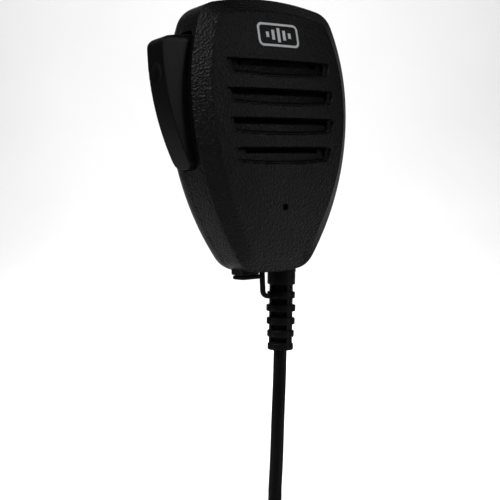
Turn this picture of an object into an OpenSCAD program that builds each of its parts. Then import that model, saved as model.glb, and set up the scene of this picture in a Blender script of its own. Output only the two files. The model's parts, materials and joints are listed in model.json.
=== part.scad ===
// Hand microphone: two-shell housing with a grille, a side talk button, a rear hang-up stud,
// an earphone jack with a rubber flap, and a curly cord ending in a round eight-way plug.
// The origin is the middle of the stud's head. The face looks along -Y and +Z is up.

/* [Housing] */
// Width across the widest place
body_w = 62.6; // [60:0.1:66]
// Height of the top edge above the housing's datum
top_z = 46.7; // [44:0.1:50]
// Height of the bottom edge below the housing's datum
bottom_z = -43.4; // [-46:0.1:-42]
// Height of the widest place
widest_z = 14; // [10:0.5:18]
// Wall thickness of both shells
wall = 2.2; // [1.8:0.1:2.6]
// Depth from the rim of the bevel back to the parting plane
split_y = 11.3; // [10:0.1:12.5]
// Depth from the rim of the bevel back to the rear face
back_y = 23; // [21:0.5:26]
// Radius of the rounding around the rear face
back_round = 10; // [8:0.5:11]
// How far the middle of the face stands in front of the rim
face_rise = 6.6; // [5.5:0.1:7.5]
// Radius of the crown of the face
face_r = 165; // [140:5:220]
// Height of the crown's highest place
face_z = 5; // [0:1:10]

/* [Grille] */
// Number of slots
slot_count = 4; // [3:1:4]
// Distance from one slot to the next
slot_pitch = 9.4; // [9:0.1:10]
// Height of a slot's pocket at its ends
slot_h = 4.6; // [4:0.1:5]
// How far the lower edge of a pocket sags in the middle
slot_sag = 0.5; // [0.2:0.1:0.8]
// Distance from the housing's side to the end of a slot
slot_margin = 10.4; // [9:0.1:12]
// Height of the top slot's upper edge
slot_top_z = 25.9; // [24:0.1:27]
// Radius of the opening in front of the speaker
speaker_open_r = 19; // [17:0.5:19]
// Height of the speaker's centre
speaker_z = 10.2; // [9:0.1:11]
// Height of the microphone hole
mic_z = -21.7; // [-24:0.1:-20]
// Radius of the microphone hole
mic_hole_r = 1.15; // [0.8:0.05:1.5]

/* [Talk button] */
// Height of the button's top
button_top_z = 34.2; // [33:0.1:34.5]
// Height of the button's bottom
button_bottom_z = -8.6; // [-9:0.1:-8]
// Width of the button, front to back
button_w = 10; // [9.5:0.1:10.1]
// Gap around the button
button_gap = 0.7; // [0.5:0.05:1]
// Depth of the middle of the button behind the rim
button_y = 8; // [8:0.05:8.1]
// Radius of the button's outer face, seen from the front
button_r = 85; // [80:1:95]

/* [Hang-up stud] */
// Height of the stud above the datum
stud_z = 20; // [14:0.5:24]
// Radius of the stud's head
stud_head_r = 7.5; // [6.5:0.1:8]
// Radius of the stud's neck
stud_neck_r = 4; // [3.5:0.1:4.5]
// Length of the neck, which is the slot that the hanger enters
stud_neck_l = 3; // [2.5:0.1:3.5]
// Thickness of the head
stud_head_h = 3; // [2.5:0.1:3.5]

/* [Cord] */
// Diameter of the cord
cord_d = 4.7; // [4.5:0.1:4.8]
// Outer diameter of the curls
curl_od = 13; // [12:0.5:13]
// Radius of the ring in which the curls lie
coil_r = 41; // [41:1:43]
// Angle that the ring of curls fills
coil_sweep = 300; // [280:5:300]
// Height of the surface under the curls
floor_z = -148; // [-150:1:-146]
// Lean of the strain relief, in degrees
relief_lean = 3.6; // [0:0.1:4]

/* [Hidden] */
half_w = body_w / 2;
// Arcs of the outline, seen from the front: top, upper side, lower side, bottom and corners
top_r = 96;
upper_r = 72;
lower_r = 95;
foot_r = 60;
top_corner_r = 8;
foot_corner_r = 9;
least_corner_r = 1.5;
// The rim bows back towards the top and the bottom
rim_bow = 0.0009;
bevel_run = 9;
bevel_slope = 0.9;
bevel_ease = 0.0095;
bevel_wall = 0.45;

// Posts and screws that hold the shells together, in pairs left and right
post_at = [[18, 38], [14, -26]];
post_r = 3.2;
screw_r = 1.2;
screw_head_r = 2.5;
screw_head_h = 1.8;
screw_seat_y = back_y - 4;
groove = [0.9, 1.5];
groove_d = 0.5;

// Speaker seat, measured from the rim plane
seat_y = -1.8;
seat_ring_r = [17.6, 20.4];
fence_r = [20.5, 21.7];
fence_y = 2.5;
board_y = 12.5;
board_t = 1.6;

// Cable outlet, strain relief and jack, side by side under the housing
outlet_at = [7.8, 9.5];
outlet_r = 5.1;
outlet_z = -43;
collar_r = 4.85;
collar_end_z = -48.6;
rib_z = [-51, -55.5, -60, -64.4, -68.9];
rib_h = 2.4;
rib_r = [4.85, 5.1, 4.95, 4.7, 4.5];
relief_core_r = 4.1;
relief_tip_z = -71.5;
relief_flange_z = -38.6;
clamp_z = -33;
clamp_x = 5.4;
boss_x = [-11.1, -3.8];
boss_y = [5.5, 13.5];
boss_z = -44.1;
jack_at = [-7.5, 9.5];
jack_r = 1.8;
jack_depth = 12;
jack_nose_r = 3.15;
flap_gap = 0.2;
flap_t = 1.3;
flap_x = [-11, -1.8];
flap_y = [5.9, 13.1];
strap_x = [-1.5, 0.1];
strap_y = [8.4, 10];
strap_bend_r = 3;
strap_end = [2.8, -53];

// Talk button, its pivot and its switch
button_face_at = [45.4, 29.2];
dimple_at = [-48.25, 21];
dimple_r = 9.6;
button_inner_x = -24;
pivot_at = [-25.5, -5];
pivot_r = 1;
pivot_bore_r = 1.06;
nose_z = 8;
nose_tip_x = -21.6;
switch_x = [-19, -14.5];

// Plug, measured from its rear end along its axis
plug_at = [14, 8, 9.5];
plug_shell_r = 8;
plug_ring_r = 9.5;
plug_ring_bore_r = 8.06;
plug_l = 40;
contact_ring_r = 4.3;

// Where the ring of curls lies
coil_at = [-9.3, -7.9];
coil_turn = 145;
facets = 96;

stud_mid_y = back_y + stud_neck_l + stud_head_h / 2;

function circle_at(c, r, a) = c + r * [cos(a), sin(a)];
function bearing(a, b) = atan2(b.y - a.y, b.x - a.x);
// One of the two points at distance r1 from c1 and r2 from c2
function meet(c1, r1, c2, r2, side) =
    let (d = norm(c2 - c1), u = (c2 - c1) / d, a = (r1 * r1 - r2 * r2 + d * d) / (2 * d))
    c1 + a * u + side * sqrt(r1 * r1 - a * a) * [-u.y, u.x];
// Arc points without the last one, so that arcs can be joined
function arc(c, r, a0, a1, n) = [for (i = [0:n - 1]) circle_at(c, r, a0 + (a1 - a0) * i / n)];

// Right half of the outline, from top to bottom, moved inwards
function half_outline(inset) = let (
    ct = [0, top_z - top_r],
    cu = [half_w - upper_r, widest_z],
    cl = [half_w - lower_r, widest_z],
    cb = [0, bottom_z + foot_r],
    kt = max(top_corner_r - inset, least_corner_r),
    kb = max(foot_corner_r - inset, least_corner_r),
    pt = meet(ct, top_r - inset - kt, cu, upper_r - inset - kt, -1),
    pb = meet(cb, foot_r - inset - kb, cl, lower_r - inset - kb, 1))
    concat(
        arc(ct, top_r - inset, 90, bearing(ct, pt), 5),
        arc(pt, kt, bearing(ct, pt), bearing(cu, pt), 7),
        arc(cu, upper_r - inset, bearing(cu, pt), 0, 5),
        arc(cl, lower_r - inset, 0, bearing(cl, pb), 9),
        arc(pb, kb, bearing(cl, pb), bearing(cb, pb), 7),
        arc(cb, foot_r - inset, bearing(cb, pb), -90, 4),
        [[0, bottom_z + inset]]);
// Whole outline, without doubling the points on the middle line
function outline(inset) = let (h = half_outline(inset), n = len(h))
    concat(h, [for (i = [n - 2:-1:1]) [-h[i].x, h[i].y]]);
// Half-width of the housing at a height
function side_x(z) = let (r = z > widest_z ? upper_r : lower_r)
    half_w - r + sqrt(r * r - (z - widest_z) * (z - widest_z));
function rim_y(z) = rim_bow * z * z;
function slope_at(z) = bevel_slope + bevel_ease * min(z, 0);
function flat_ring(inset, y) = [for (p = outline(inset)) [p.x, y, p.y]];
function rim_ring(inset) = [for (p = outline(inset)) [p.x, rim_y(p.y) + inset * bevel_wall, p.y]];
function apex_ring(inset) = let (rim = rim_ring(inset), far = outline(inset + bevel_run))
    [for (i = [0:len(far) - 1]) [far[i].x, rim[i].y - bevel_run * slope_at(rim[i].z), far[i].y]];

// Joins rings of points into a closed solid, with a point at each end
module skin(rings, first, last) {
    n = len(rings[0]);
    m = len(rings);
    points = concat([first], [for (ring = rings) each ring], [last]);
    polyhedron(points, concat(
        [for (i = [0:n - 1]) [0, 1 + (i + 1) % n, 1 + i]],
        [for (k = [0:m - 2]) for (i = [0:n - 1]) let (a = 1 + k * n + i, b = 1 + k * n + (i + 1) % n)
            each [[a, b, a + n], [b, b + n, a + n]]],
        [for (i = [0:n - 1]) let (a = 1 + (m - 1) * n) [a + i, a + (i + 1) % n, 1 + m * n]]));
}
// Front shell's form, shrunk by a wall
module front_form(inset, base_y) {
    intersection() {
        skin([flat_ring(inset, base_y), rim_ring(inset), apex_ring(inset)],
            [0, base_y, 0], [0, -bevel_run * 2, face_z]);
        translate([0, face_r - face_rise, face_z]) sphere(r = face_r - inset, $fn = facets);
    }
}
// Rear shell's form, shrunk by a wall
module back_form(inset, base_y) {
    r = back_round - inset;
    rings = [for (t = [90:-15:0]) flat_ring(inset + r * (1 - cos(t)), back_y - back_round + r * sin(t))];
    skin(concat(rings, [flat_ring(inset, base_y)]), [0, back_y - inset, 0], [0, base_y, 0]);
}
module place() {
    translate([0, -stud_mid_y, -stud_z]) children();
}
// Cylinder along +Y from y0 to y1
module along_y(r, y0, y1) {
    translate([0, y1, 0]) rotate([90, 0, 0]) cylinder(r = r, h = y1 - y0, $fn = facets);
}
module post_places() {
    for (p = post_at) for (side = [-1, 1]) translate([side * p.x, 0, p.y]) children();
}
// Flat plate with round corners, standing in the Y-Z plane and reaching from x0 to x1
module side_plate(x0, x1, y0, y1, z0, z1, r) {
    translate([x0, 0, 0]) rotate([90, 0, 90]) linear_extrude(x1 - x0) {
        translate([y0 + r, z0]) square([y1 - y0 - 2 * r, z1 - z0]);
        translate([y0, z0 + r]) square([y1 - y0, z1 - z0 - 2 * r]);
        for (y = [y0 + r, y1 - r]) for (z = [z0 + r, z1 - r]) translate([y, z]) circle(r, $fn = facets);
    }
}
// Opening for the talk button, through the side of both shells
module button_opening() {
    g = button_gap;
    w = button_w / 2;
    side_plate(-45, button_inner_x + 2, button_y - w - g, button_y + w + g,
        button_bottom_z - g, button_top_z + 1.2, 3.4);
}
module groove_ring(depth) {
    translate([0, split_y + depth, 0]) rotate([90, 0, 0]) linear_extrude(2 * depth) difference() {
        polygon(outline(groove[0]));
        polygon(outline(groove[1]));
    }
}
// Outline of one slot's pocket, seen from the front, with a sagging lower edge
module slot_shape(top, half, height, sag, r) {
    lower = [for (t = [0:8]) let (x = half - t * half / 4) [x, -height - sag * (1 - pow(x / half, 2))]];
    translate([0, top]) {
        intersection() {
            polygon(concat([[-half, 0], [half, 0]], lower));
            union() {
                translate([-half + r, -height * 2]) square([2 * (half - r), height * 2]);
                translate([-half, -height + r]) square([2 * half, height - r]);
                for (side = [-1, 1]) translate([side * (half - r), -height + r]) circle(r, $fn = facets);
            }
        }
    }
}
// Grille cuts: each slot has a pocket, a deeper pocket, and a slit into the speaker's opening
module grille_cut() {
    for (i = [0:slot_count - 1]) {
        top = slot_top_z - i * slot_pitch;
        half = side_x(top - slot_h / 2) - slot_margin;
        intersection() {
            rotate([90, 0, 0]) linear_extrude(20) slot_shape(top, half, slot_h, slot_sag, 1.8);
            face_band(0.9);
        }
        intersection() {
            rotate([90, 0, 0]) linear_extrude(20)
                slot_shape(top, half - 2, slot_h - 1.1, slot_sag, 0.8);
            face_band(1.9);
        }
        intersection() {
            translate([-half, -20, top - 1.7]) cube([2 * half, 22, 1.7]);
            translate([0, 0, speaker_z]) along_y(speaker_open_r, -20, 2);
        }
    }
}
// All the space in front of a surface that lies this deep under the face
module face_band(depth) {
    difference() {
        translate([-35, -20, -45]) cube([70, 24, 95]);
        translate([0, face_r - face_rise, face_z]) sphere(r = face_r - depth, $fn = facets);
    }
}
module clamp_places() {
    for (side = [-1, 1]) translate([outlet_at.x + side * clamp_x, 0, clamp_z]) children();
}
// The part of the jack's boss that lies between two depths; each shell has its own
module jack_boss(y0, y1) {
    r = 1.5;
    intersection() {
        translate([0, 0, boss_z]) linear_extrude(4) {
            translate([boss_x[0] + r, boss_y[0]])
                square([boss_x[1] - boss_x[0] - 2 * r, boss_y[1] - boss_y[0]]);
            translate([boss_x[0], boss_y[0] + r])
                square([boss_x[1] - boss_x[0], boss_y[1] - boss_y[0] - 2 * r]);
            for (x = [boss_x[0] + r, boss_x[1] - r]) for (y = [boss_y[0] + r, boss_y[1] - r])
                translate([x, y]) circle(r, $fn = facets);
        }
        translate([-20, y0, -50]) cube([40, y1 - y0, 20]);
    }
}
module bottom_holes() {
    translate([outlet_at.x, outlet_at.y, -50]) cylinder(r = outlet_r, h = 11.3, $fn = facets);
    translate([jack_at.x, jack_at.y, -50]) cylinder(r = jack_nose_r + 0.05, h = 12.8, $fn = facets);
}
module front_shell() {
    color("#222324") place() difference() {
        union() {
            difference() {
                front_form(0, split_y);
                front_form(wall, split_y + 1);
            }
            intersection() {
                front_form(wall - 0.4, split_y);
                union() {
                    post_places() along_y(post_r, -8, split_y);
                    translate([0, 0, speaker_z]) difference() {
                        along_y(seat_ring_r[1], -8, seat_y);
                        along_y(seat_ring_r[0], -9, seat_y + 1);
                    }
                    translate([0, 0, speaker_z]) difference() {
                        along_y(fence_r[1], -8, fence_y);
                        along_y(fence_r[0], -9, fence_y + 1);
                    }
                    translate([0, 0, mic_z]) difference() {
                        along_y(6.2, -8, 2);
                        along_y(5, -9, 3);
                    }
                    translate([-29, -0.6, pivot_at.y - 3]) cube([6.5, 3, 6]);
                    clamp_places() along_y(1.9, -8, 8.2);
                }
            }
            jack_boss(0, split_y);
        }
        grille_cut();
        translate([0, 0, mic_z]) along_y(mic_hole_r, -12, 0);
        bottom_holes();
        post_places() along_y(screw_r, 0, split_y + 1);
        clamp_places() along_y(0.8, 3, 9);
        translate([pivot_at.x, 0, pivot_at.y]) along_y(pivot_r, 0.6, 4);
        groove_ring(groove_d);
        button_opening();
    }
}
module rear_shell() {
    color("#1f2021") place() difference() {
        union() {
            difference() {
                back_form(0, split_y);
                back_form(wall, split_y - 1);
            }
            intersection() {
                back_form(wall - 0.4, split_y);
                union() {
                    post_places() along_y(post_r, split_y, back_y);
                    translate([0, 0, stud_z]) along_y(5.2, back_y - 6, back_y);
                    translate([-29, 14, pivot_at.y - 3]) cube([6.5, 5.2, 6]);
                }
            }
            jack_boss(split_y, back_y);
        }
        bottom_holes();
        post_places() along_y(screw_r + 0.3, split_y - 1, back_y);
        post_places() along_y(screw_head_r + 0.3, screw_seat_y, back_y + 1);
        translate([0, 0, stud_z]) along_y(3.2, back_y - 7, back_y + 1);
        translate([pivot_at.x, 0, pivot_at.y]) along_y(pivot_r, 13, 18.4);
        groove_ring(groove_d);
        button_opening();
    }
}
module case_gasket() {
    color("#2b2b2b") place() difference() {
        groove_ring(groove_d - 0.05);
        button_opening();
        bottom_holes();
    }
}
module case_screws() {
    color("#3a3a3c") place() post_places() difference() {
        union() {
            along_y(screw_r, 2, screw_seat_y);
            along_y(screw_head_r, screw_seat_y, screw_seat_y + screw_head_h);
        }
        for (a = [0, 90]) rotate([0, a, 0]) translate([-1.5, screw_seat_y + 0.8, -0.25]) cube([3, 2, 0.5]);
    }
}
// Printed badge: a rounded frame round five bars, standing a hair above the face
module badge_print() {
    h = 7.7;
    w = 16.2;
    line = 0.75;
    bars = [1.8, 3.3, 4.7, 3.3, 1.8];
    color("white") place() intersection() {
        translate([0, 0, 34.2]) rotate([90, 0, 0]) linear_extrude(20) {
            difference() {
                badge_outline(w, h, 1.8);
                badge_outline(w - 2 * line, h - 2 * line, 1.1);
            }
            for (i = [0:4]) translate([(i - 2) * 2.2 - 0.55, -bars[i] / 2]) square([1.1, bars[i]]);
        }
        difference() {
            translate([0, face_r - face_rise, face_z]) sphere(r = face_r + 0.08, $fn = facets);
            translate([0, face_r - face_rise, face_z]) sphere(r = face_r + 0.01, $fn = facets);
        }
    }
}
module badge_outline(w, h, r) {
    square([w - 2 * r, h], center = true);
    square([w, h - 2 * r], center = true);
    for (sx = [-1, 1]) for (sz = [-1, 1])
        translate([sx * (w / 2 - r), sz * (h / 2 - r)]) circle(r, $fn = facets);
}
module grille_cloth() {
    color("#101010") place() translate([0, 0, speaker_z]) along_y(20.2, seat_y, seat_y + 0.3);
}
module speaker_gasket() {
    color("#303030") place() translate([0, 0, speaker_z]) difference() {
        along_y(20.2, seat_y + 0.3, seat_y + 1);
        along_y(18.2, seat_y, seat_y + 2);
    }
}
module speaker_frame() {
    y = seat_y + 1;
    color("#8a8c8e") place() translate([0, 0, speaker_z]) rotate([-90, 0, 0]) rotate_extrude($fn = facets)
        polygon([[18.4, y], [20.1, y], [20.1, y + 0.8], [18.4, y + 0.8], [11, y + 4.6], [9.1, y + 4.6],
            [9.1, y + 3.8], [10.6, y + 3.8]]);
}
module speaker_cone() {
    y = seat_y + 1;
    color("#1a1a1a") place() translate([0, 0, speaker_z]) rotate([-90, 0, 0]) rotate_extrude($fn = facets)
        polygon([[0, y + 1.2], [5, y + 2.2], [15.5, y + 0.1], [16.8, y + 0.4], [17.6, y + 0.1],
            [17.6, y + 0.3],
            [16.8, y + 0.7], [15.5, y + 0.4], [5, y + 2.6], [0, y + 1.6]]);
}
module speaker_magnet() {
    color("#55585a") place() translate([0, 0, speaker_z]) difference() {
        along_y(9, seat_y + 4.8, seat_y + 11.5);
        along_y(1.5, seat_y + 9, seat_y + 12);
    }
}
module mic_capsule() {
    color("#b9bbbd") place() translate([0, 0, mic_z]) difference() {
        along_y(3, -0.2, 3.8);
        along_y(2.2, -1, 0.1);
    }
}
module mic_boot() {
    color("#262626") place() translate([0, 0, mic_z]) difference() {
        along_y(4.9, -1.1, 4.1);
        along_y(3.05, -0.25, 5);
        along_y(1.3, -2, 0);
    }
}
module circuit_board() {
    color("#1f5f3a") place() difference() {
        translate([-18.5, board_y, -28]) cube([36.5, board_t, 60]);
        post_places() along_y(post_r + 0.5, board_y - 1, board_y + 3);
        translate([0, 0, speaker_z]) along_y(4, board_y - 1, board_y + 3);
        translate([0, 0, stud_z]) along_y(5.6, board_y - 1, board_y + 3);
    }
}
module board_chips() {
    color("#151515") place() {
        translate([6, board_y - 1.6, -16]) cube([8, 1.6, 6]);
        translate([-12, board_y - 1.2, -17]) cube([5, 1.2, 5]);
        translate([3, board_y + board_t, -8]) cube([9, 1.4, 9]);
        for (i = [0:3]) translate([-11 + 3 * i, board_y + board_t, -20]) cube([1.6, 0.8, 3]);
    }
}
module ptt_switch() {
    color("#202020") place() difference() {
        translate([switch_x[0], button_y - 3, nose_z - 4])
            cube([switch_x[1] - switch_x[0], board_y - button_y + 3, 8]);
        translate([switch_x[0] - 1, button_y, nose_z]) rotate([0, 90, 0])
            cylinder(r = 1.25, h = 4, $fn = facets);
    }
}
module switch_plunger() {
    color("#c8c8c4") place() translate([nose_tip_x + 0.3, button_y, nose_z]) rotate([0, 90, 0])
        cylinder(r = 1.2, h = 3.8, $fn = facets);
}
// Side view of the talk button: a bowed outer face, a rounded top and a straight back
function button_profile() = let (
    c = button_face_at,
    low = -asin((c.y - button_bottom_z) / button_r),
    k = 3.4,
    pk = [c.x - sqrt(pow(button_r - k, 2) - pow(button_top_z - k - 1.2 - c.y, 2)), button_top_z - k - 1.2],
    crown = 104)
    concat(
        [for (p = arc(c, button_r, 180 - low, bearing(c, pk), 14)) p],
        arc(pk, k, bearing(c, pk), crown, 7),
        [circle_at(pk, k, crown), [-30, button_top_z - 0.3], [-27, button_top_z],
            [button_inner_x, button_top_z], [button_inner_x, button_bottom_z]]);
module ptt_button() {
    w = button_w / 2;
    color("#1c1d1e") place() difference() {
        union() {
            intersection() {
                translate([0, button_y + w, 0]) rotate([90, 0, 0]) linear_extrude(button_w)
                    polygon(button_profile());
                side_plate(-45, button_inner_x, button_y - w, button_y + w,
                    button_bottom_z, button_top_z, 2.8);
            }
            translate([nose_tip_x - 3, button_y, nose_z]) rotate([0, 90, 0])
                cylinder(r = 1.6, h = 3, $fn = facets);
        }
        translate([pivot_at.x, 0, pivot_at.y]) along_y(pivot_bore_r, 0, 20);
        translate([dimple_at.x, button_y, dimple_at.y]) sphere(r = dimple_r, $fn = facets);
        translate([pivot_at.x - 3, button_y - 2, button_bottom_z - 1]) cube([8, 4, 7]);
        translate([pivot_at.x + 0.4, button_y - 2, pivot_at.y]) cube([8, 4, 8]);
    }
}
module ptt_pin() {
    color("#c0c2c4") place() translate([pivot_at.x, 0, pivot_at.y]) along_y(pivot_r, 0.8, 18.2);
}
// Torsion spring round the pivot pin, with one leg towards the housing
module ptt_spring() {
    color("#a8aaac") place() translate([pivot_at.x, 0, pivot_at.y]) {
        difference() {
            along_y(1.9, button_y - 1.5, button_y + 1.5);
            along_y(1.35, button_y - 2, button_y + 2);
        }
        translate([1.3, button_y + 0.9, 0]) cube([0.5, 0.5, 7]);
    }
}
module jack_socket() {
    box_w = 6.4;
    color("#2a2a2c") place() difference() {
        union() {
            translate([jack_at.x, jack_at.y, boss_z + 0.1])
                cylinder(r = jack_nose_r, h = 7, $fn = facets);
            translate([jack_at.x - box_w / 2, jack_at.y - box_w / 2, -37.1]) cube([box_w, box_w, 7.5]);
        }
        translate([jack_at.x, jack_at.y, boss_z - 1])
            cylinder(r = jack_r, h = jack_depth + 1.1, $fn = facets);
        translate([jack_at.x, jack_at.y, boss_z]) cylinder(r1 = 2.6, r2 = jack_r, h = 0.8, $fn = facets);
    }
}
module jack_flap() {
    z0 = boss_z - flap_gap - flap_t;
    color("#242424") place() {
        translate([flap_x[0] + 1.5, flap_y[0], z0])
            cube([flap_x[1] - flap_x[0] - 1.5, flap_y[1] - flap_y[0], flap_t]);
        translate([flap_x[0], flap_y[0] + 1.5, z0]) cube([2, flap_y[1] - flap_y[0] - 3, flap_t]);
        translate([jack_at.x, jack_at.y, z0 + flap_t / 2]) cylinder(r = 1.4, h = 1.2, $fn = facets);
    }
}
// Rubber strap from beside the flap down and across to the first rib of the strain relief
module flap_strap() {
    t = strap_x[1] - strap_x[0];
    w = strap_y[1] - strap_y[0];
    top = boss_z - flap_gap;
    bend_x = strap_x[0] + strap_bend_r;
    bend_z = strap_end.y + strap_bend_r;
    color("#262626") place() {
        translate([strap_x[0], strap_y[0], bend_z]) cube([t, w, top - bend_z]);
        translate([bend_x, strap_y[1], bend_z]) rotate([90, 0, 0]) rotate([0, 0, 180])
            rotate_extrude(angle = 90, $fn = facets) translate([strap_bend_r - t, 0]) square([t, w]);
        translate([bend_x, strap_y[0], strap_end.y]) cube([strap_end.x - bend_x, w, t]);
    }
}
module lean_relief() {
    translate([outlet_at.x, outlet_at.y, outlet_z]) rotate([0, relief_lean, 0])
        translate([0, 0, -outlet_z]) children();
}
module strain_relief() {
    color("#202020") place() {
        translate([outlet_at.x, outlet_at.y, outlet_z - 1.2])
            cylinder(r = outlet_r - 0.1, h = 5.8, $fn = facets);
        translate([outlet_at.x, outlet_at.y, relief_flange_z]) cylinder(r = 5.6, h = 1.4, $fn = facets);
        lean_relief() {
            translate([0, 0, collar_end_z]) cylinder(r = collar_r, h = outlet_z - collar_end_z, $fn = facets);
            translate([0, 0, relief_tip_z])
                cylinder(r = relief_core_r, h = outlet_z - relief_tip_z, $fn = facets);
            for (i = [0:4]) translate([0, 0, rib_z[i] - rib_h])
                cylinder(r = rib_r[i], h = rib_h, $fn = facets);
        }
    }
}
module cord_inner() {
    color("#1a1a1a") place() translate([outlet_at.x, outlet_at.y, relief_flange_z + 1.4])
        cylinder(r = cord_d / 2, h = 7.4, $fn = facets);
}
module cable_clamp() {
    y = outlet_at.y + cord_d / 2 + 0.05;
    color("#9a9c9e") place() difference() {
        translate([outlet_at.x - clamp_x - 1.7, y, clamp_z - 2]) cube([2 * clamp_x + 3.4, 1.2, 4]);
        clamp_places() along_y(0.9, 0, 20);
    }
}
module clamp_screws() {
    y = outlet_at.y + cord_d / 2 + 1.3;
    color("#b5b7b9") place() clamp_places() {
        along_y(0.8, 3.2, y);
        along_y(1.6, y, y + 1);
    }
}
// Straight round rod between two points
module rod(p, q, r) {
    v = q - p;
    translate(p) rotate([0, acos(v.z / norm(v)), atan2(v.y, v.x)]) cylinder(r = r, h = norm(v), $fn = 24);
}
module core_wires() {
    color("#7a2020") place() for (i = [0:3])
        rod([outlet_at.x + (i - 1.5) * 0.9, outlet_at.y, relief_flange_z + 8.7],
            [(i - 1.5) * 2.2, 10.4, -26.2], 0.4);
}
module wire_header() {
    color("#e8e4d8") place() translate([-5, 10.5, -28]) cube([10, 2, 4]);
}
module hang_stud() {
    head_y = back_y + stud_neck_l;
    color("#26282a") place() translate([0, 0, stud_z]) difference() {
        union() {
            along_y(stud_neck_r, back_y, head_y);
            along_y(stud_head_r, head_y + 0.5, head_y + stud_head_h - 0.5);
            translate([0, head_y + 0.5, 0]) rotate([90, 0, 0])
                cylinder(r1 = stud_head_r, r2 = stud_head_r - 0.5, h = 0.5, $fn = facets);
            translate([0, head_y + stud_head_h - 0.5, 0]) rotate([-90, 0, 0])
                cylinder(r1 = stud_head_r, r2 = stud_head_r - 0.5, h = 0.5, $fn = facets);
        }
        along_y(2, back_y - 1, head_y + stud_head_h + 1);
        along_y(3.7, head_y + stud_head_h - 1.8, head_y + stud_head_h + 1);
    }
}
module stud_screw() {
    top = back_y + stud_neck_l + stud_head_h;
    color("#b8babc") place() translate([0, 0, stud_z]) difference() {
        union() {
            along_y(1.6, back_y - 5, top - 1.8);
            along_y(3.4, top - 1.8, top - 0.4);
        }
        for (a = [0, 90]) rotate([0, a, 0]) translate([-2.2, top - 1.1, -0.3]) cube([4.4, 2, 0.6]);
    }
}
module stud_insert() {
    color("#b08d3f") place() translate([0, 0, stud_z]) difference() {
        along_y(3.2, back_y - 6, back_y);
        along_y(1.6, back_y - 7, back_y + 1);
    }
}

// Cord route. The tail hangs from the strain relief; the rest is measured from the ring's middle
// and the surface under it, and turned into the housing's frame.
function laid(p) = [coil_at.x + p.x * cos(coil_turn) - p.y * sin(coil_turn),
    coil_at.y + p.x * sin(coil_turn) + p.y * cos(coil_turn), floor_z + p.z];
tail_hang = [[6, 9.5, -71.5], [5.1, 9.5, -83], [3.9, 9.5, -96], [2.8, 9.5, -109], [1.8, 9.6, -119],
    [1.2, 9.7, -125]];
tail_laid = [[4, -20, 16.5], [8.6, -20, 12], [15, -20, 10], [21.5, -19.8, 9.6], [28.6, -18, 9.2],
    [34.8, -13.8, 8.4], [39.3, -7.4, 7.2], [41, 0, 6.5]];
lead_laid = [[20.5, -35.5, 6.5], [24.3, -32.8, 4.6], [27, -28.6, 3.2], [28, -22.5, 2.6], [28, -15, 2.5],
    [28, -8, 2.7], [27.2, -2, 3.6], [24.4, 3.4, 5.8], [19.6, 7, 8.4], [14, 8, 9.5]];
tail_route = concat(tail_hang, [for (p = tail_laid) laid(p)]);
lead_route = [for (p = lead_laid) laid(p)];
steps = 2;
sides = 10;
// Point on a smooth curve through four neighbours
function smooth(a, b, c, d, t) =
    0.5 * (2 * b + (c - a) * t + (2 * a - 5 * b + 4 * c - d) * t * t + (3 * b - a - 3 * c + d) * t * t * t);
function curve(p) = let (n = len(p)) concat(
    [for (i = [0:n - 2]) for (s = [0:steps - 1])
        smooth(p[max(i - 1, 0)], p[i], p[i + 1], p[min(i + 2, n - 1)], s / steps)],
    [p[n - 1]]);
function unit(v) = v / norm(v);
module cord_tube(route) {
    p = curve(route);
    n = len(p);
    rings = [for (i = [0:n - 1]) let (
        t = unit(p[min(i + 1, n - 1)] - p[max(i - 1, 0)]),
        u = unit(cross(t, [0.31, 0.27, 0.11])),
        v = cross(t, u))
        [for (k = [0:sides - 1]) p[i] + cord_d / 2 * (cos(360 * k / sides) * v + sin(360 * k / sides) * u)]];
    skin(rings, p[0], p[n - 1]);
}
module cord_tail() {
    color("#181818") place() cord_tube(tail_route);
}
module cord_lead() {
    color("#181818") place() cord_tube(lead_route);
}
module at_floor() {
    translate([coil_at.x, coil_at.y, floor_z]) rotate([0, 0, coil_turn]) children();
}
module cord_curl() {
    color("#181818") place() at_floor() translate([0, 0, curl_od / 2])
        rotate_extrude(angle = coil_sweep, $fn = facets) translate([coil_r, 0]) circle(d = curl_od, $fn = 48);
}
module plug_axis() {
    at_floor() translate(plug_at) rotate([0, -90, 0]) children();
}
module plug_boot() {
    color("#202020") place() plug_axis() {
        cylinder(r1 = 3, r2 = 4.8, h = 9, $fn = facets);
        translate([0, 0, 9]) cylinder(r = 4.8, h = 5, $fn = facets);
    }
}
module plug_shell() {
    color("#b9bcbf") place() plug_axis() difference() {
        union() {
            translate([0, 0, 9]) cylinder(r1 = 6.2, r2 = plug_shell_r, h = 4, $fn = facets);
            translate([0, 0, 13]) cylinder(r = plug_shell_r, h = 20, $fn = facets);
        }
        translate([0, 0, 8]) cylinder(r = 4.9, h = 8, $fn = facets);
        translate([0, 0, 14]) cylinder(r = 6.6, h = 20, $fn = facets);
        translate([0, 0, 18]) rotate([0, 90, 0]) cylinder(r = 1.25, h = 12, $fn = facets);
    }
}
module plug_ring() {
    color("#c9ccce") place() plug_axis() translate([0, 0, 24]) difference() {
        cylinder(r = plug_ring_r, h = plug_l - 24, $fn = facets);
        translate([0, 0, -1]) cylinder(r = plug_ring_bore_r, h = plug_l, $fn = facets);
    }
}
module plug_insert() {
    color("#181818") place() plug_axis() difference() {
        translate([0, 0, 16]) cylinder(r = 6.5, h = 21, $fn = facets);
        contact_places() translate([0, 0, 20]) cylinder(r = 0.95, h = 18, $fn = 32);
        translate([5.4, -0.9, 30]) cube([3, 1.8, 8]);
    }
}
module contact_places() {
    children();
    for (i = [0:6]) rotate([0, 0, i * 360 / 7]) translate([contact_ring_r, 0, 0]) children();
}
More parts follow.
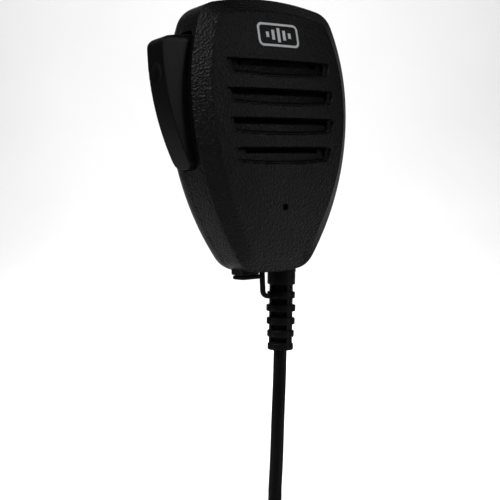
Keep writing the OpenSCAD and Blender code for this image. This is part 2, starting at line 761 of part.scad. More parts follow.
module plug_contacts() {
    color("#d0b060") place() plug_axis() contact_places() difference() {
        translate([0, 0, 20]) cylinder(r = 0.92, h = 16.6, $fn = 32);
        translate([0, 0, 28]) cylinder(r = 0.6, h = 10, $fn = 32);
    }
}
module plug_screw() {
    color("#8c8e90") place() plug_axis() translate([6.7, 0, 18]) rotate([0, 90, 0])
        cylinder(r = 1.2, h = 1.1, $fn = 32);
}

front_shell();
rear_shell();
case_gasket();
case_screws();
badge_print();
grille_cloth();
speaker_gasket();
speaker_frame();
speaker_cone();
speaker_magnet();
mic_capsule();
mic_boot();
circuit_board();
board_chips();
ptt_switch();
switch_plunger();
ptt_button();
ptt_pin();
ptt_spring();
jack_socket();
jack_flap();
flap_strap();
strain_relief();
cord_inner();
cable_clamp();
clamp_screws();
core_wires();
wire_header();
hang_stud();
stud_screw();
stud_insert();
cord_tail();
cord_curl();
cord_lead();
plug_boot();
plug_shell();
plug_ring();
plug_insert();
plug_contacts();
plug_screw();
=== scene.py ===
import json
import math
import bpy
from mathutils import Matrix, Vector


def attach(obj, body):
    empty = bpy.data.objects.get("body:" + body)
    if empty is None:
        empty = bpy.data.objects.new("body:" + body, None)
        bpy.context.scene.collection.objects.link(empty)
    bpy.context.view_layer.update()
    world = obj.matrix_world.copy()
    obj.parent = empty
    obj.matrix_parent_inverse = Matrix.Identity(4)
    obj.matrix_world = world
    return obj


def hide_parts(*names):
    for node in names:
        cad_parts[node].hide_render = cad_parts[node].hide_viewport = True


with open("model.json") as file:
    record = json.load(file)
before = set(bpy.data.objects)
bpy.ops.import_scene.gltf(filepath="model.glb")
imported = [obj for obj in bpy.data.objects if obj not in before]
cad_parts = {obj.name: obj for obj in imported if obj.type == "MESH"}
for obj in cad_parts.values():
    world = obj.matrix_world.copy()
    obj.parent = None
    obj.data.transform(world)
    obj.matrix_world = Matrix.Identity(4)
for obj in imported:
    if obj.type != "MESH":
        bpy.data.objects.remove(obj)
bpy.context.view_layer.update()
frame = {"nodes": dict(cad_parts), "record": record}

MM = 0.001
STUD_Y, STUD_Z = 27.5, 20.0


def at(x, y, z):
    """A place given in the housing's own millimetres, as a point of the frame in metres."""
    return Vector((x * MM, (y - STUD_Y) * MM, (z - STUD_Z) * MM))


# ---------------------------------------------------------------- camera
TURN, TILT, ROLL = math.radians(-34.44), math.radians(3.16), math.radians(-2.12)
CAMERA_BACK, CAMERA_SIDE, CAMERA_DOWN = 298.1, 8.31, 35.89
LENS = 64.8


def add_camera():
    right = Vector((math.cos(TURN), math.sin(TURN), 0))
    look = Vector((-math.sin(TURN) * math.cos(TILT), math.cos(TURN) * math.cos(TILT), -math.sin(TILT)))
    up = right.cross(look)
    side = right * math.cos(ROLL) + up * math.sin(ROLL)
    top = -right * math.sin(ROLL) + up * math.cos(ROLL)
    data = bpy.data.cameras.new("camera")
    data.lens = LENS
    data.sensor_width = 36
    data.clip_start = 0.01
    data.clip_end = 50
    camera = bpy.data.objects.new("camera", data)
    bpy.context.scene.collection.objects.link(camera)
    turned = Matrix((side, top, -look)).transposed().to_4x4()
    place = -look * CAMERA_BACK - side * CAMERA_SIDE - top * CAMERA_DOWN
    camera.matrix_world = Matrix.Translation(at(*place)) @ turned
    bpy.context.scene.camera = camera


# ---------------------------------------------------------------- mesh helpers
def pick_none():
    bpy.ops.object.select_all(action="DESELECT")


def pick(obj):
    pick_none()
    obj.select_set(True)
    bpy.context.view_layer.objects.active = obj


def apply_modifiers(obj):
    pick(obj)
    for modifier in list(obj.modifiers):
        bpy.ops.object.modifier_apply(modifier=modifier.name)


def key(point):
    return (round(point[0], 7), round(point[1], 7), round(point[2], 7))


def pick_no_element(mesh):
    for elements in (mesh.polygons, mesh.edges, mesh.vertices):
        elements.foreach_set("select", [False] * len(elements))


def grow(obj, ring, next_ring):
    """Extrudes the open edge that lies on ring, and moves what it makes onto next_ring."""
    spot = {key(p): i for i, p in enumerate(ring)}
    mesh = obj.data
    pick_no_element(mesh)
    on_ring = [key(v.co) in spot for v in mesh.vertices]
    faces_of = {}
    for face in mesh.polygons:
        for pair in face.edge_keys:
            faces_of[pair] = faces_of.get(pair, 0) + 1
    for edge in mesh.edges:
        a, b = edge.vertices
        if on_ring[a] and on_ring[b] and faces_of.get(tuple(sorted((a, b))), 0) < 2:
            gap = abs(spot[key(mesh.vertices[a].co)] - spot[key(mesh.vertices[b].co)])
            if gap in (1, len(ring) - 1):
                edge.select = True
                mesh.vertices[a].select = True
                mesh.vertices[b].select = True
    old = len(mesh.vertices)
    bpy.ops.object.mode_set(mode="EDIT")
    bpy.ops.mesh.select_mode(type="EDGE")
    bpy.ops.mesh.extrude_edges_move()
    bpy.ops.object.mode_set(mode="OBJECT")
    for v in obj.data.vertices[old:]:
        v.co = next_ring[spot[key(v.co)]]


def close_edge(obj, ring):
    """Fills the open edge that lies on ring."""
    spots = {key(p) for p in ring}
    mesh = obj.data
    pick_no_element(mesh)
    for edge in mesh.edges:
        if all(key(mesh.vertices[i].co) in spots for i in edge.vertices):
            edge.select = True
    for v in mesh.vertices:
        v.select = key(v.co) in spots
    bpy.ops.object.mode_set(mode="EDIT")
    bpy.ops.mesh.select_mode(type="VERT")
    bpy.ops.mesh.edge_face_add()
    bpy.ops.object.mode_set(mode="OBJECT")


def clean(obj, angle=35):
    """Merges doubles, points the faces outwards and shades smooth up to an angle."""
    pick(obj)
    bpy.ops.object.mode_set(mode="EDIT")
    bpy.ops.mesh.select_all(action="SELECT")
    bpy.ops.mesh.remove_doubles(threshold=0.000002)
    bpy.ops.mesh.normals_make_consistent(inside=False)
    bpy.ops.object.mode_set(mode="OBJECT")
    bpy.ops.object.shade_smooth_by_angle(angle=math.radians(angle))


def loft(name, rings, closed=True):
    """A ring of edges extruded from ring to ring; each ring has as many points as the first."""
    rings = [[Vector(p) for p in ring] for ring in rings]
    pick_none()
    bpy.ops.mesh.primitive_circle_add(vertices=len(rings[0]))
    obj = bpy.context.object
    obj.name = name
    for v, p in zip(obj.data.vertices, rings[0]):
        v.co = p
    rings[0] = [v.co.copy() for v in obj.data.vertices]
    here = rings[0]
    for ring in rings[1:]:
        grow(obj, here, ring)
        here = ring
    if closed:
        close_edge(obj, rings[0])
        close_edge(obj, rings[-1])
    clean(obj)
    return obj


def lathe(name, profile, place, sides=64, flutes=0, flute_depth=0, fluted=()):
    """Turned piece: profile holds (radius, height) pairs, place puts them in the frame.
    fluted names the profile points whose radius is cut by straight flutes."""
    rings = []
    for i, (radius, height) in enumerate(profile):
        ring = []
        for k in range(sides):
            t = 2 * math.pi * k / sides
            r = radius
            if i in fluted:
                r -= flute_depth * (0.5 + 0.5 * math.cos(flutes * t)) ** 2
            ring.append(place(r * math.cos(t), r * math.sin(t), height))
        rings.append(ring)
    return loft(name, rings)


def cut(obj, cutter, operation="DIFFERENCE"):
    """Takes the cutter out of a piece, or with INTERSECT keeps what both share, and removes the cutter."""
    boolean = obj.modifiers.new("cut", "BOOLEAN")
    boolean.operation = operation
    boolean.solver = "EXACT"
    boolean.object = cutter
    apply_modifiers(obj)
    bpy.data.objects.remove(cutter)


def soften(obj, width, segments=3, angle=35):
    """Rounds the edges that are sharper than angle."""
    bevel = obj.modifiers.new("soften", "BEVEL")
    bevel.width = width * MM
    bevel.segments = segments
    bevel.limit_method = "ANGLE"
    bevel.angle_limit = math.radians(angle)
    apply_modifiers(obj)
    pick(obj)
    bpy.ops.object.shade_smooth_by_angle(angle=math.radians(angle))


def rounded(x0, x1, z0, z1, r, steps=6):
    """Points of a rectangle with round corners, counter-clockwise."""
    points = []
    corners = ((x1 - r, z1 - r, 0), (x0 + r, z1 - r, 90), (x0 + r, z0 + r, 180), (x1 - r, z0 + r, 270))
    for cx, cz, start in corners:
        for k in range(steps + 1):
            t = math.radians(start + 90 * k / steps)
            points.append((cx + r * math.cos(t), cz + r * math.sin(t)))
    return points


def smoothstep(low, high, v):
    t = min(max((v - low) / (high - low), 0), 1)
    return t * t * (3 - 2 * t)


def soft_min(a, b, k):
    h = max(k - abs(a - b), 0) / k
    return min(a, b) - h * h * k / 4


# ---------------------------------------------------------------- outline of the housing
HALF_W, TOP_Z, BOTTOM_Z, WIDEST_Z = 31.3, 46.7, -43.4, 14.0
TOP_R, UPPER_R, LOWER_R, FOOT_R = 96.0, 72.0, 95.0, 60.0
TOP_CORNER_R, FOOT_CORNER_R = 8.0, 9.0
SPLIT_Y, BACK_Y, BACK_ROUND = 11.3, 23.0, 10.0
FACE_R, FACE_RISE, FACE_Z = 165.0, 6.6, 5.0
RIM_BOW = 0.0009
BEVEL_W, BEVEL_EASE = 4.9, 0.5
WALL = 2.2
SEAM_GAP, SEAM_INSET, SEAM_ROUND = 0.03, 0.18, 0.2


def meet(c1, r1, c2, r2, side):
    """Where two circles cross, on one side of the line between their middles."""
    d = (c2 - c1).length
    u = (c2 - c1) / d
    a = (r1 * r1 - r2 * r2 + d * d) / (2 * d)
    return c1 + u * a + Vector((-u.y, u.x)) * side * math.sqrt(r1 * r1 - a * a)


def arc(c, r, a0, a1, n):
    angles = [a0 + (a1 - a0) * i / n for i in range(n)]
    return [c + r * Vector((math.cos(a), math.sin(a))) for a in angles]


def bearing(a, b):
    return math.atan2(b.y - a.y, b.x - a.x)


def half_outline():
    """The housing's right half from the front: arcs from the top's middle to the foot's middle."""
    top, upper = Vector((0, TOP_Z - TOP_R)), Vector((HALF_W - UPPER_R, WIDEST_Z))
    lower, foot = Vector((HALF_W - LOWER_R, WIDEST_Z)), Vector((0, BOTTOM_Z + FOOT_R))
    shoulder = meet(top, TOP_R - TOP_CORNER_R, upper, UPPER_R - TOP_CORNER_R, -1)
    heel = meet(foot, FOOT_R - FOOT_CORNER_R, lower, LOWER_R - FOOT_CORNER_R, 1)
    return (arc(top, TOP_R, math.pi / 2, bearing(top, shoulder), 40)
            + arc(shoulder, TOP_CORNER_R, bearing(top, shoulder), bearing(upper, shoulder), 60)
            + arc(upper, UPPER_R, bearing(upper, shoulder), 0, 60)
            + arc(lower, LOWER_R, 0, bearing(lower, heel), 100)
            + arc(heel, FOOT_CORNER_R, bearing(lower, heel), bearing(foot, heel), 60)
            + arc(foot, FOOT_R, bearing(foot, heel), -math.pi / 2, 40)
            + [Vector((0, BOTTOM_Z))])


HALF = half_outline()
OUTLINE = HALF + [Vector((-p.x, p.y)) for p in HALF[-2:0:-1]]


def outline_points(directions, middle):
    """For each direction from the middle, the outline's point there and its outward normal."""
    n = len(OUTLINE)
    angles = [math.atan2(p.y - middle.y, p.x - middle.x) for p in OUTLINE]
    found = []
    for direction in directions:
        a = math.atan2(direction.y, direction.x)
        best = None
        for i in range(n):
            first = angles[i]
            step = (first - angles[(i + 1) % n] + math.pi) % (2 * math.pi) - math.pi
            share = ((first - a + math.pi) % (2 * math.pi) - math.pi) / step if step else -1
            if 0 <= share <= 1:
                best = (i, share)
                break
        i, share = best
        p = OUTLINE[i].lerp(OUTLINE[(i + 1) % n], share)
        along = OUTLINE[(i + 2) % n] - OUTLINE[(i - 1) % n]
        normal = Vector((-along.y, along.x)).normalized()
        found.append((p, normal))
    return found


def rim_y(z):
    return RIM_BOW * z * z


def face_y(x, z):
    return FACE_R - FACE_RISE - math.sqrt(FACE_R ** 2 - x * x - (z - FACE_Z) ** 2)


def side_x(z):
    r = UPPER_R if z > WIDEST_Z else LOWER_R
    return HALF_W - r + math.sqrt(r * r - (z - WIDEST_Z) ** 2)


# ---------------------------------------------------------------- grille slots
SLOT_TOP, SLOT_PITCH, SLOT_H, SLOT_SAG, SLOT_MARGIN = 25.9, 9.4, 4.4, 1.0, 9.8
SLOT_COUNT = 4
SLOT_SLANT = 0.15
SLOT_CORNER_R = 2.2
POCKET_DEPTH, INNER_DEPTH, INNER_SLOPE, SLIT_DEPTH = 0.85, 0.35, 1.15, 3.0
LEDGE = 2.0
LIP = 0.7
SLIT_H = 1.75
SLIT_HALF = (15.5, 19.0, 19.0, 14.5)
PATCH_X, PATCH_LOW, PATCH_HIGH = 22.4, -8.8, 27.6
PATCH_STEP = 0.26


def slot_depth(x, z):
    """How deep the face is cut at a place: a pocket, a deeper one inside it, and a slit along its top."""
    depth = 0
    for i in range(SLOT_COUNT):
        top = SLOT_TOP - i * SLOT_PITCH
        half = side_x(top - SLOT_H / 2) - SLOT_MARGIN
        low = top - SLOT_H - SLOT_SAG * (1 - (x / half) ** 2)
        if not low - 1 < z < top + 1 or abs(x) > half + 1:
            continue
        end = half - SLOT_SLANT * (top - z) - abs(x)
        rise = z - low
        pocket = soft_min(soft_min(top - z, end, 0.6), rise, 0.5)
        r = SLOT_CORNER_R
        if rise < r and end < r:
            pocket = min(pocket, r - math.hypot(max(r - rise, 0), max(r - end, 0)))
        inner = min(top - z, soft_min(end - LEDGE, rise - LIP, 0.9))
        share = min(max((z - low) / (top - low), 0), 1)
        depth = POCKET_DEPTH * smoothstep(-0.1, 0.3, pocket)
        depth += (INNER_DEPTH + INNER_SLOPE * share) * smoothstep(-0.1, 0.45, inner)
        slit = min(z - (top - SLIT_H), top - 0.1 - z, SLIT_HALF[i] - abs(x))
        depth += SLIT_DEPTH * smoothstep(-0.05, 0.3, slit)
        return depth
    return depth


def front_shell():
    middle = Vector((0, (PATCH_LOW + PATCH_HIGH) / 2))
    columns = round(2 * PATCH_X / PATCH_STEP)
    rows = round((PATCH_HIGH - PATCH_LOW) / PATCH_STEP)
    pick_none()
    bpy.ops.mesh.primitive_grid_add(x_subdivisions=columns, y_subdivisions=rows, size=2)
    shell = bpy.context.object
    shell.name = "front_shell_skin"
    border = []
    for v in shell.data.vertices:
        u, w = v.co.x, v.co.y
        x, z = u * PATCH_X, middle.y + w * (PATCH_HIGH - PATCH_LOW) / 2
        v.co = at(x, face_y(x, z) + slot_depth(x, z), z)
        if abs(abs(u) - 1) < 1e-5 or abs(abs(w) - 1) < 1e-5:
            border.append((Vector((x, z)), v.co.copy()))
    border.sort(key=lambda b: math.atan2(b[0].y - middle.y, b[0].x - middle.x))
    edge = [b[0] for b in border]
    rings = [[b[1] for b in border]]
    spots = outline_points([p - middle for p in edge], middle)

    def face_ring(share):
        ring = []
        for p, (q, n) in zip(edge, spots):
            s = p.lerp(q - n * (BEVEL_W + BEVEL_EASE), share)
            ring.append(at(s.x, face_y(s.x, s.y), s.y))
        return ring

    def corner(share, first, middle_point, last):
        """A point on a small curve round a corner."""
        a, b = first.lerp(middle_point, share), middle_point.lerp(last, share)
        return a.lerp(b, share)

    def bevel_rings():
        """From the face's edge, over the bevel and round the rim, down to the parting plane."""
        columns_of_points = []
        for q, n in spots:
            def spot(inset, y):
                s = q - n * inset
                return Vector((s.x, y, s.y))
            inner = q - n * BEVEL_W
            start = q - n * (BEVEL_W + BEVEL_EASE)
            face_edge = spot(BEVEL_W, face_y(inner.x, inner.y))
            on_face = Vector((start.x, face_y(start.x, start.y), start.y))
            rim = spot(0, rim_y(q.y))
            down = face_edge.lerp(rim, 0.09)
            column = [corner(k / 6, on_face, face_edge, down) for k in range(1, 7)]
            near_rim = face_edge.lerp(rim, 0.92)
            column += [down.lerp(near_rim, k / 5) for k in range(1, 5)]
            below = spot(0, rim_y(q.y) + 0.4)
            column += [corner(k / 5, near_rim, rim, below) for k in range(6)]
            column += [spot(0, rim_y(q.y) + (SPLIT_Y - SEAM_ROUND - rim_y(q.y)) * k / 4) for k in range(1, 5)]
            column += [spot(SEAM_INSET, SPLIT_Y - SEAM_GAP)]
            column += [spot(WALL, SPLIT_Y - SEAM_GAP), spot(WALL, 5), spot(WALL + 0.5, 3.2), spot(7, 1.5)]
            columns_of_points.append([at(*p) for p in column])
        return [list(ring) for ring in zip(*columns_of_points)]

    rings += [face_ring(k / 9) for k in range(1, 10)]
    rings += bevel_rings()
    for share in (0.5, 1.0):
        rings.append([a.lerp(at(p.x * 0.9, -0.6, p.y * 0.9 + 1), share) for a, p in zip(rings[-1], edge)])
    for here, following in zip(rings, rings[1:]):
        grow(shell, here, following)
    close_edge(shell, rings[-1])
    clean(shell, 40)
    return shell


def side_opening():
    """The slot in the housing's side that the talk button stands in."""
    reach = BUTTON_W / 2 + BUTTON_GAP
    shape = rounded(BUTTON_Y - reach, BUTTON_Y + reach, BUTTON_LOW - 0.35, BUTTON_HIGH + 1.0, 3.2)
    return loft("side_opening", [[at(x, y, z) for y, z in shape] for x in (-45, -22)])


def upright(name, x, y, z0, z1, radius, sides=64):
    """A round bar along Z, as a cutter."""
    def place(a, b, height):
        return at(x + a, y + b, height)
    return lathe(name, [(radius, z0), (radius, z1)], place, sides)


def crosswise(name, x, z, y0, y1, radius, sides=48):
    """A round bar along Y, as a cutter."""
    def place(a, b, height):
        return at(x + a, height, z + b)
    return lathe(name, [(radius, y0), (radius, y1)], place, sides)


REAR_SIDES = 420
ROUND_LIMIT = 6.6
SHRINK = 26


def rear_shell():
    """The hollow rear half. Past ROUND_LIMIT its rings shrink towards the middle and are inset no further."""
    middle = Vector((0, 3))
    turns = [2 * math.pi * k / REAR_SIDES for k in range(REAR_SIDES)]
    spots = outline_points([Vector((math.cos(t), math.sin(t))) for t in turns], middle)

    def ring(inset, y):
        return [at((q - n * inset).x, y, (q - n * inset).y) for q, n in spots]

    def shrunk(inset, y, share):
        points = [(q - n * inset).lerp(middle, share) for q, n in spots]
        return [at(p.x, y, p.y) for p in points]

    rings = [shrunk(ROUND_LIMIT, BACK_Y - WALL, share) for share in (0.9, 0.1)]
    rings += [ring(5, BACK_Y - 4.5), ring(WALL, BACK_Y - 8), ring(WALL, SPLIT_Y + SEAM_GAP)]
    rings += [ring(SEAM_INSET, SPLIT_Y + SEAM_GAP), ring(0, SPLIT_Y + SEAM_ROUND)]
    rings += [ring(0, BACK_Y - BACK_ROUND)]
    for k in range(1, 19):
        t = math.radians(90 * k / 18)
        inset = BACK_ROUND * (1 - math.cos(t))
        y = BACK_Y - BACK_ROUND + BACK_ROUND * math.sin(t)
        if inset <= ROUND_LIMIT:
            rings.append(ring(inset, y))
            last = inset
        else:
            rings.append(shrunk(last, y, (inset - last) / SHRINK))
    end = (BACK_ROUND - last) / SHRINK
    rings += [shrunk(last, BACK_Y, end + share) for share in (0.1, 0.3, 0.5, 0.7, 0.8)]
    return loft("rear_shell_skin", rings)


# ---------------------------------------------------------------- talk button
BUTTON_HIGH, BUTTON_LOW, BUTTON_Y, BUTTON_W = 34.2, -8.6, 8.0, 10.0
BUTTON_R = 85.0
BUTTON_MIDDLE = Vector((45.4, 29.2))
BUTTON_TOP_R = 3.4
BUTTON_BACK = -24.0
BUTTON_GAP = 0.5
DIMPLE_X, DIMPLE_Z, DIMPLE_R = -48.25, 21.0, 9.6


def button_profile():
    """The button seen from the front, clockwise from its foot: a bowed outer face and a slanting top."""
    high = BUTTON_HIGH - BUTTON_TOP_R - 1.2
    c = BUTTON_MIDDLE
    k = Vector((c.x - math.sqrt((BUTTON_R - BUTTON_TOP_R) ** 2 - (high - c.y) ** 2), high))
    foot = math.pi + math.asin((c.y - BUTTON_LOW) / BUTTON_R)
    crown = math.radians(104)
    points = arc(c, BUTTON_R, foot, math.pi - math.asin((high - c.y) / (BUTTON_R - BUTTON_TOP_R)), 24)
    points += arc(k, BUTTON_TOP_R, bearing(c, k), crown, 10)
    points += [k + BUTTON_TOP_R * Vector((math.cos(crown), math.sin(crown)))]
    points += [Vector((-30, BUTTON_HIGH - 0.3)), Vector((BUTTON_BACK, BUTTON_HIGH))]
    return points + [Vector((BUTTON_BACK, BUTTON_LOW))]


def talk_button():
    half = BUTTON_W / 2
    shape = button_profile()
    button = loft("talk_button_cap", [[at(p.x, BUTTON_Y + s * half, p.y) for p in shape] for s in (-1, 1)])
    corner_cut = rounded(BUTTON_Y - half, BUTTON_Y + half, BUTTON_LOW, BUTTON_HIGH, 2.8, 8)
    plate = loft("button_plate", [[at(x, y, z) for y, z in corner_cut] for x in (-45, -20)])
    cut(button, plate, "INTERSECT")
    soften(button, 0.7, 4, 40)
    pick_none()
    bpy.ops.mesh.primitive_uv_sphere_add(segments=96, ring_count=48, radius=DIMPLE_R * MM,
                                         location=at(DIMPLE_X, BUTTON_Y, DIMPLE_Z))
    cut(button, bpy.context.object)
    remesh = button.modifiers.new("even", "REMESH")
    remesh.mode = "VOXEL"
    remesh.voxel_size = 0.24 * MM
    smooth = button.modifiers.new("smooth", "SMOOTH")
    smooth.factor = 0.5
    smooth.iterations = 4
    apply_modifiers(button)
    pick(button)
    bpy.ops.object.shade_smooth()
    return button


# ---------------------------------------------------------------- strain relief, jack, flap and strap
OUTLET = Vector((7.8, 9.5))
OUTLET_Z = -43.0
RELIEF_LEAN = math.radians(3.6)
COLLAR_R, COLLAR_END = 4.85, -48.6
RIB_TOPS = (-51.0, -55.5, -60.0, -64.4, -68.9)
RIB_H = 2.4
RIB_R = (4.85, 5.1, 4.95, 4.7, 4.5)
NECK_R, CORE_R = 4.1, 2.9
WINDOW_AT, WINDOW_HALF = 222, 44
JACK = Vector((-7.5, 9.5))
BOSS_X, BOSS_Y, BOSS_Z = (-11.1, -3.8), (5.5, 13.5), -44.1
FLAP_X, FLAP_Y, FLAP_T, FLAP_GAP = (-11.0, -1.8), (5.9, 13.1), 1.3, 0.2
STRAP_X, STRAP_Y = (-1.5, 0.1), (8.4, 10.0)
STRAP_END = (2.8, -53.0)
STRAP_BEND = 3.0


def leaning(a, b, height):
    """A place on the strain relief, which leans a little to one side below the housing."""
    drop = height - OUTLET_Z
    x = OUTLET.x + a * math.cos(RELIEF_LEAN) + drop * math.sin(RELIEF_LEAN)
    z = OUTLET_Z - a * math.sin(RELIEF_LEAN) + drop * math.cos(RELIEF_LEAN)
    return at(x, OUTLET.y + b, z)


def strain_relief():
    """A turned rubber sleeve with five ribs, and two windows cut in each groove between them."""
    r = 0.45

    def band(radius, top, bottom):
        """Profile of one raised band with round edges."""
        turns = [math.radians(22.5 * k) for k in range(5)]
        points = [(radius - r + r * math.sin(t), top - r + r * math.cos(t)) for t in turns]
        return points + [(radius - r + r * math.cos(t), bottom + r - r * math.sin(t)) for t in turns]

    profile = [(3.0, -39.0), (4.95, -39.0), (5.0, -42.5), (5.0, -43.95), (COLLAR_R, -44.15)]
    profile += band(COLLAR_R, -44.2, COLLAR_END)[5:] + [(NECK_R, COLLAR_END)]
    for i, top in enumerate(RIB_TOPS):
        bottom = top - RIB_H
        profile += [(NECK_R, top)] + band(RIB_R[i], top, bottom) + [(NECK_R, bottom)]
    profile = profile[:-1] + [(2.4, RIB_TOPS[-1] - RIB_H)]
    relief = lathe("strain_relief_rubber", profile, leaning, 72)
    cutters = []
    tops = (COLLAR_END,) + tuple(t - RIB_H for t in RIB_TOPS[:-1])
    for high, low in zip(tops, RIB_TOPS):
        for side in range(2):
            middle = math.radians(WINDOW_AT + 180 * side)
            shape = []
            for radius, span in ((CORE_R, WINDOW_HALF), (6.5, WINDOW_HALF - 4)):
                turns = [middle + math.radians(span * s) for s in (-1, -0.5, 0, 0.5, 1)]
                if radius != CORE_R:
                    turns.reverse()
                shape += [(radius * math.cos(t), radius * math.sin(t)) for t in turns]
            rings = [[leaning(a, b, h) for a, b in shape] for h in (high - 0.28, low + 0.28)]
            cutters.append(loft("window", rings))
    pick_none()
    for piece in cutters:
        piece.select_set(True)
    bpy.context.view_layer.objects.active = cutters[0]
    bpy.ops.object.join()
    cut(relief, cutters[0])
    pick(relief)
    bpy.ops.object.shade_smooth_by_angle(angle=math.radians(38))
    return relief


def jack_boss():
    shape = rounded(BOSS_X[0], BOSS_X[1], BOSS_Y[0], BOSS_Y[1], 1.5)
    rings = [[at(x, y, z) for x, y in shape] for z in (-41.0, BOSS_Z + 0.35)]
    low = rounded(BOSS_X[0] + 0.3, BOSS_X[1] - 0.3, BOSS_Y[0] + 0.3, BOSS_Y[1] - 0.3, 1.3)
    rings.append([at(x, y, BOSS_Z) for x, y in low])
    boss = loft("jack_boss", rings)
    cut(boss, upright("jack_hole", JACK.x, JACK.y, -50, -40, 3.2))
    return boss


def jack_flap():
    top = BOSS_Z - FLAP_GAP
    layers = ((0.35, top), (0.05, top - 0.25), (0, top - 0.5), (0, top - 0.9), (0.15, top - 1.15),
              (0.5, top - FLAP_T))
    rings = []
    for inset, z in layers:
        left, right = FLAP_X[0] + inset, FLAP_X[1] - inset
        shape = rounded(left, right, FLAP_Y[0] + inset, FLAP_Y[1] - inset, 1.8 - inset)
        rings.append([at(x, y, z) for x, y in shape])
    return loft("jack_flap_rubber", rings)


def flap_strap():
    """A square strap with round edges that runs down from the housing and bends into the first rib."""
    half = (STRAP_X[1] - STRAP_X[0]) / 2
    reach = STRAP_BEND - half
    turn = Vector((STRAP_X[0] + STRAP_BEND, STRAP_END[1] + STRAP_BEND))
    top = BOTTOM_Z - 0.1
    line = [(Vector((STRAP_X[0] + half, top + (turn.y - top) * k / 6)), Vector((1, 0))) for k in range(6)]
    for k in range(13):
        t = math.radians(90 * k / 12)
        out = Vector((-math.cos(t), -math.sin(t)))
        line.append((turn + out * reach, -out))
    line.append((Vector((STRAP_END[0], turn.y - reach)), Vector((0, 1))))
    section = rounded(-half, half, -0.8, 0.8, 0.42, 4)
    middle = (STRAP_Y[0] + STRAP_Y[1]) / 2
    rings = [[at((p + s * a).x, middle + b, (p + s * a).y) for a, b in section] for p, s in line]
    return loft("flap_strap_rubber", rings)


# ---------------------------------------------------------------- cord
CORD_R = 2.35
COIL_AT = Vector((-9.3, -7.9))
COIL_TURN = math.radians(145)
FLOOR_Z = -148.0
COIL_R, CURL_R, CURL_TURNS = 41.0, 4.15, 43
COIL_SWEEP = math.radians(300)
CURL_POINTS = 20
TAIL_HANG = ((6, 9.5, -71.5), (5.1, 9.5, -83), (3.9, 9.5, -96), (2.8, 9.5, -109), (1.8, 9.6, -119),
             (1.2, 9.7, -125))
TAIL_LAID = ((4, -20, 16.5), (8.6, -20, 12), (15, -20, 10), (21.5, -19.8, 9.6), (28.6, -18, 9.2),
             (34.8, -13.8, 8.4), (39.3, -7.4, 7.2), (41, 0, 6.5))
LEAD_LAID = ((20.5, -35.5, 6.5), (24.3, -32.8, 4.6), (27, -28.6, 3.2), (28, -22.5, 2.6), (28, -15, 2.5),
             (28, -8, 2.7), (27.2, -2, 3.6), (24.4, 3.4, 5.8), (19.6, 7, 8.4), (14, 8, 9.5))


def laid(x, y, z):
    """A place measured from the middle of the ring of curls, with its height above the surface under it."""
    c, s = math.cos(COIL_TURN), math.sin(COIL_TURN)
    return Vector((COIL_AT.x + x * c - y * s, COIL_AT.y + x * s + y * c, FLOOR_Z + z))


def smooth_line(points, steps):
    out = []
    n = len(points)
    for i in range(n - 1):
        a, b, c, d = points[max(i - 1, 0)], points[i], points[i + 1], points[min(i + 2, n - 1)]
        for s in range(steps):
            t = s / steps
            out.append(0.5 * (2 * b + (c - a) * t + (2 * a - 5 * b + 4 * c - d) * t * t
                              + (3 * b - a - 3 * c + d) * t ** 3))
    return out + [points[-1]]


def curls():
    """The helix, bent round the ring. Its radius grows from nothing and shrinks back at the end."""
    points = []
    count = CURL_TURNS * CURL_POINTS
    for i in range(count + 1):
        turns = i / CURL_POINTS
        a = COIL_SWEEP * i / count
        r = CURL_R * smoothstep(0, 1.2, turns) * smoothstep(0, 1.2, CURL_TURNS - turns)
        t = 2 * math.pi * turns
        reach = COIL_R + r * math.cos(t)
        points.append(laid(reach * math.cos(a), reach * math.sin(a), CURL_R + CORD_R + r * math.sin(t)))
    return points


def cord_line():
    tail = [Vector(p) for p in TAIL_HANG] + [laid(*p) for p in TAIL_LAID]
    lead = [laid(*p) for p in LEAD_LAID]
    return smooth_line(tail, 6)[:-1] + curls() + smooth_line(lead, 6)[1:]


def cord_curve():
    line = cord_line()
    data = bpy.data.curves.new("curly_cord", "CURVE")
    data.dimensions = "3D"
    data.bevel_depth = CORD_R * MM
    data.bevel_resolution = 4
    data.use_fill_caps = True
    spline = data.splines.new("POLY")
    spline.points.add(len(line) - 1)
    for point, place in zip(spline.points, line):
        point.co = (*at(*place), 1)
    spline.use_smooth = True
    cord = bpy.data.objects.new("curly_cord", data)
    bpy.context.scene.collection.objects.link(cord)
    length = sum((b - a).length for a, b in zip(line, line[1:])) * MM
    return cord, length, at(*line[0])


# ---------------------------------------------------------------- plug
PLUG_AT = (14, 8, 9.5)


def on_plug(a, b, height):
    """A place on the plug, whose axis lies along the ring's own -x."""
    return at(*laid(PLUG_AT[0] - height, PLUG_AT[1] + b, PLUG_AT[2] + a))


BOOT_PROFILE = ((2.1, 0), (2.7, 0), (3.0, 0.4), (3.3, 3), (3.3, 3.2), (3.0, 3.4), (3.0, 3.9), (3.6, 4.1),
                (3.9, 6), (3.9, 6.2), (3.5, 6.4), (3.5, 6.9), (4.3, 7.1), (4.6, 9), (4.7, 13.5), (2.0, 13.6))
SHELL_PROFILE = ((4.9, 9.2), (5.6, 9.05), (6.1, 9.25), (6.4, 9.7), (7.4, 12.2), (7.8, 12.8), (7.95, 13.5),
                 (7.95, 17), (7.7, 17.2), (7.7, 19.2), (7.95, 19.4), (7.95, 22.4), (8.0, 22.6), (8.0, 32.8),
                 (7.8, 33), (6.7, 33), (6.6, 32.8), (6.6, 14.2), (4.95, 14))
RING_PROFILE = ((8.1, 24.1), (8.9, 24.05), (9.1, 24.3), (9.15, 25.4), (9.5, 25.8), (9.5, 26.2), (9.5, 36.6),
                (9.5, 37), (9.15, 37.4), (9.15, 39.3), (8.9, 39.9), (8.3, 39.95), (8.1, 39.7))
KNURLS, KNURL_DEPTH, KNURLED = 36, 0.45, (5, 6)


